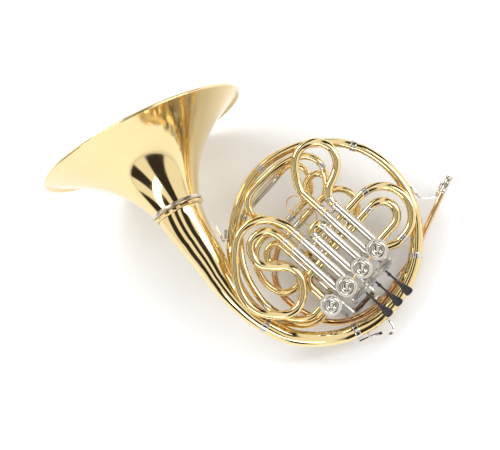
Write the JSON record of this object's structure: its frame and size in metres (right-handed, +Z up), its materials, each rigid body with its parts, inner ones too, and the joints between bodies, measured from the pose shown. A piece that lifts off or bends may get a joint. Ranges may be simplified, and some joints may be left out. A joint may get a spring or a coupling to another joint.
{
  "type": "double french horn",
  "caption": "Coiled double french horn: flared bell, rotary valves worked by finger levers and a thumb lever, drawing tuning slides.",
  "frame": {"origin": "centre of the bounding box's bottom, on the surface that the horn lies on", "axes": "+Z up; +X across the body away from the bell; +Y up the body towards the bell's rim; the horn lies on its bell rim and back with the valve caps up"},
  "size_m": [0.5734, 0.37, 0.3085],
  "materials": {
    "lacquered_brass": "polished",
    "nickel_silver": "polished",
    "black_lacquer": "polished",
    "steel": "satin"
  },
  "bodies": {
    "horn": {"bell_flare": "lacquered_brass", "bell_screw_ring": "lacquered_brass", "bell_socket_ring": "lacquered_brass", "bell_tail": "lacquered_brass", "main_branch": "lacquered_brass", "tail_ferrule": "nickel_silver", "top_ferrule": "nickel_silver", "outer_return": "lacquered_brass", "left_run": "lacquered_brass", "second_run": "lacquered_brass", "mouthpiece_receiver": "nickel_silver", "leadpipe": "lacquered_brass", "leadpipe_brace": "nickel_silver", "bell_brace": "nickel_silver", "first_front_sleeves": "nickel_silver", "second_front_sleeves": "nickel_silver", "third_front_sleeves": "nickel_silver", "first_rear_sleeves": "nickel_silver", "second_rear_sleeves": "nickel_silver", "third_rear_sleeves": "nickel_silver", "main_tuning_sleeve_left": "nickel_silver", "main_tuning_sleeve_right": "nickel_silver", "second_tuning_sleeve_left": "nickel_silver", "second_tuning_sleeve_right": "nickel_silver", "change_valve_elbow": "lacquered_brass", "wide_loop": "lacquered_brass", "narrow_loop": "lacquered_brass", "first_casing": "nickel_silver", "first_cap": "nickel_silver", "second_casing": "nickel_silver", "second_cap": "nickel_silver", "third_casing": "nickel_silver", "third_cap": "nickel_silver", "lever_bracket": "steel", "change_casing": "nickel_silver", "change_cap": "nickel_silver", "thumb_hinge_frame": "nickel_silver", "water_key_post": "nickel_silver", "finger_hook": "nickel_silver"},
    "first_front_slide": {"first_front_slide": "lacquered_brass"},
    "second_front_slide": {"second_front_slide": "lacquered_brass"},
    "third_front_slide": {"third_front_slide": "lacquered_brass"},
    "first_rear_slide": {"first_rear_slide": "lacquered_brass"},
    "second_rear_slide": {"second_rear_slide": "lacquered_brass"},
    "third_rear_slide": {"third_rear_slide": "lacquered_brass"},
    "main_tuning_slide": {"main_tuning_slide": "lacquered_brass"},
    "second_tuning_slide": {"second_tuning_slide": "lacquered_brass"},
    "first_lever": {"first_lever": "black_lacquer"},
    "first_link": {"first_link": "steel"},
    "first_rotor": {"first_rotor": "nickel_silver"},
    "second_lever": {"second_lever": "black_lacquer"},
    "second_link": {"second_link": "steel"},
    "second_rotor": {"second_rotor": "nickel_silver"},
    "third_lever": {"third_lever": "black_lacquer"},
    "third_link": {"third_link": "steel"},
    "third_rotor": {"third_rotor": "nickel_silver"},
    "thumb_lever": {"thumb_lever": "black_lacquer"},
    "thumb_link": {"thumb_link": "steel"},
    "change_rotor": {"change_rotor": "nickel_silver"},
    "water_key": {"water_key": "nickel_silver"}
  },
  "joints": [
    {"name": "first_front_draw", "type": "slide", "parent": "horn", "child": "first_front_slide", "axis": [-0.6669, 0.6515, 0.3617], "range_m": [0, 0.035]},
    {"name": "second_front_draw", "type": "slide", "parent": "horn", "child": "second_front_slide", "axis": [-0.6669, 0.6515, 0.3617], "range_m": [0, 0.03]},
    {"name": "third_front_draw", "type": "slide", "parent": "horn", "child": "third_front_slide", "axis": [-0.6669, 0.6515, 0.3617], "range_m": [0, 0.03]},
    {"name": "first_rear_draw", "type": "slide", "parent": "horn", "child": "first_rear_slide", "axis": [-0.6669, 0.6515, 0.3617], "range_m": [0, 0.018]},
    {"name": "second_rear_draw", "type": "slide", "parent": "horn", "child": "second_rear_slide", "axis": [-0.6669, 0.6515, 0.3617], "range_m": [0, 0.018]},
    {"name": "third_rear_draw", "type": "slide", "parent": "horn", "child": "third_rear_slide", "axis": [-0.6669, 0.6515, 0.3617], "range_m": [0, 0.006]},
    {"name": "main_tuning_draw", "type": "slide", "parent": "horn", "child": "main_tuning_slide", "axis": [0.6896, 0.7235, -0.0317], "range_m": [0, 0.025]},
    {"name": "second_tuning_draw", "type": "slide", "parent": "horn", "child": "second_tuning_slide", "axis": [0.6896, 0.7235, -0.0317], "range_m": [0, 0.008]},
    {"name": "first_lever_press", "type": "hinge", "parent": "horn", "child": "first_lever", "pos_m": [0.18917, -0.0818, 0.06447], "axis": [0.6896, 0.7235, -0.0317], "range_deg": [0, 13], "stiffness_Nm_per_rad": 0.4, "springref_deg": -8.59},
    {"name": "first_link_turn", "type": "hinge", "parent": "first_lever", "child": "first_link", "pos_m": [0.18307, -0.06864, 0.01293], "axis": [0.6896, 0.7235, -0.0317], "range_deg": [-13, 0]},
    {"name": "first_rotor_turn", "type": "hinge", "parent": "horn", "child": "first_rotor", "pos_m": [0.16917, -0.04444, 0.03386], "axis": [0.2824, -0.2283, 0.9318], "range_deg": [-90.01, 0]},
    {"name": "second_lever_press", "type": "hinge", "parent": "horn", "child": "second_lever", "pos_m": [0.17497, -0.0967, 0.06513], "axis": [0.6896, 0.7235, -0.0317], "range_deg": [0, 13], "stiffness_Nm_per_rad": 0.4, "springref_deg": -8.59},
    {"name": "second_link_turn", "type": "hinge", "parent": "second_lever", "child": "second_link", "pos_m": [0.15972, -0.09315, 0.014], "axis": [0.6896, 0.7235, -0.0317], "range_deg": [-13, 0]},
    {"name": "second_rotor_turn", "type": "hinge", "parent": "horn", "child": "second_rotor", "pos_m": [0.14684, -0.06995, 0.03438], "axis": [0.2824, -0.2283, 0.9318], "range_deg": [-90.01, 0]},
    {"name": "third_lever_press", "type": "hinge", "parent": "horn", "child": "third_lever", "pos_m": [0.16076, -0.1116, 0.06578], "axis": [0.6896, 0.7235, -0.0317], "range_deg": [0, 13], "stiffness_Nm_per_rad": 0.4, "springref_deg": -8.59},
    {"name": "third_link_turn", "type": "hinge", "parent": "third_lever", "child": "third_link", "pos_m": [0.13636, -0.11765, 0.01507], "axis": [0.6896, 0.7235, -0.0317], "range_deg": [-13, 0]},
    {"name": "third_rotor_turn", "type": "hinge", "parent": "horn", "child": "third_rotor", "pos_m": [0.12451, -0.09546, 0.03489], "axis": [0.2824, -0.2283, 0.9318], "range_deg": [-90.01, 0]},
    {"name": "thumb_lever_press", "type": "hinge", "parent": "horn", "child": "thumb_lever", "pos_m": [0.14054, -0.1318, 0.02617], "axis": [-0.6896, -0.7235, 0.0317], "range_deg": [0, 15.14], "stiffness_Nm_per_rad": 0.4, "springref_deg": -8.59},
    {"name": "thumb_link_turn", "type": "hinge", "parent": "thumb_lever", "child": "thumb_link", "pos_m": [0.12058, -0.13402, 0.00313], "axis": [-0.6896, -0.7235, 0.0317], "range_deg": [-15.14, 0]},
    {"name": "change_rotor_turn", "type": "hinge", "parent": "horn", "child": "change_rotor", "pos_m": [0.09893, -0.11834, 0.0247], "axis": [0.2824, -0.2283, 0.9318], "range_deg": [-90.01, 0]},
    {"name": "water_key_turn", "type": "hinge", "parent": "horn", "child": "water_key", "pos_m": [0.15833, -0.16988, 0.02218], "axis": [0.2824, -0.2283, 0.9318], "range_deg": [0, 12], "stiffness_Nm_per_rad": 0.1, "springref_deg": -11.46}
  ],
  "couplings": [
    {"joint": "first_link_turn", "follows": "first_lever_press", "ratio": -1},
    {"joint": "first_rotor_turn", "follows": "first_lever_press", "ratio": -6.9231},
    {"joint": "second_link_turn", "follows": "second_lever_press", "ratio": -1},
    {"joint": "second_rotor_turn", "follows": "second_lever_press", "ratio": -6.9231},
    {"joint": "third_link_turn", "follows": "third_lever_press", "ratio": -1},
    {"joint": "third_rotor_turn", "follows": "third_lever_press", "ratio": -6.9231},
    {"joint": "thumb_link_turn", "follows": "thumb_lever_press", "ratio": -1},
    {"joint": "change_rotor_turn", "follows": "thumb_lever_press", "ratio": -5.9437}
  ]
}
